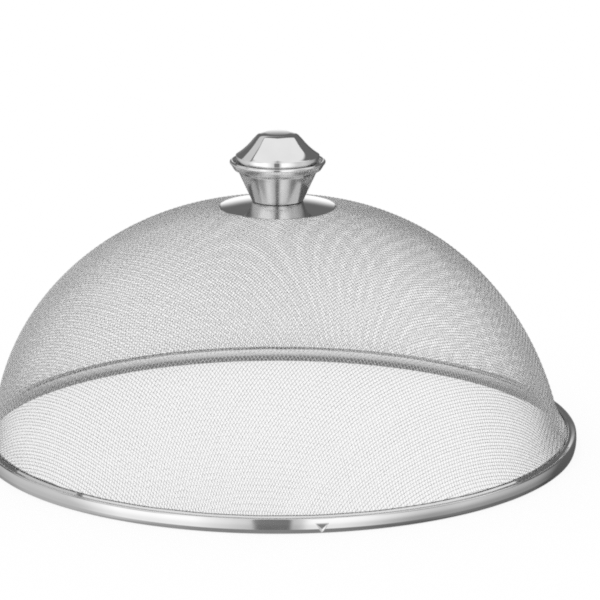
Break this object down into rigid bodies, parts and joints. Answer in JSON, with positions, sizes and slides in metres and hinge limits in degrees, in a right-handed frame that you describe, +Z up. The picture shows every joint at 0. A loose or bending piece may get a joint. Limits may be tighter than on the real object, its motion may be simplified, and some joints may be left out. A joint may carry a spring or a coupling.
{
  "type": "buffet food cover dome",
  "caption": "Round domed food cover of drawn steel wire mesh in a folded rim, lifted by a hollow two-part knob on a polished crown plate.",
  "frame": {"origin": "centre of the ring on which the rim rests, at table height", "axes": "+Z up along the dome's axis to the knob, -Y towards the viewer, +X to the viewer's right"},
  "size_m": [0.3, 0.3, 0.1586],
  "materials": {
    "mesh_steel": "bright drawn wire",
    "rim_steel": "bright rolled strip",
    "polished_steel": "mirror polished",
    "plain_steel": "dull"
  },
  "bodies": {
    "root": {"rim_band": "rim_steel", "rim_hoop": "plain_steel", "mesh_dome": "mesh_steel", "top_plate": "polished_steel", "backing_plate": "plain_steel", "knob_cup": "polished_steel", "knob_cap": "polished_steel", "knob_nut": "plain_steel", "knob_screw": "plain_steel", "flat_washer": "plain_steel", "spring_washer": "plain_steel"}
  },
  "joints": []
}
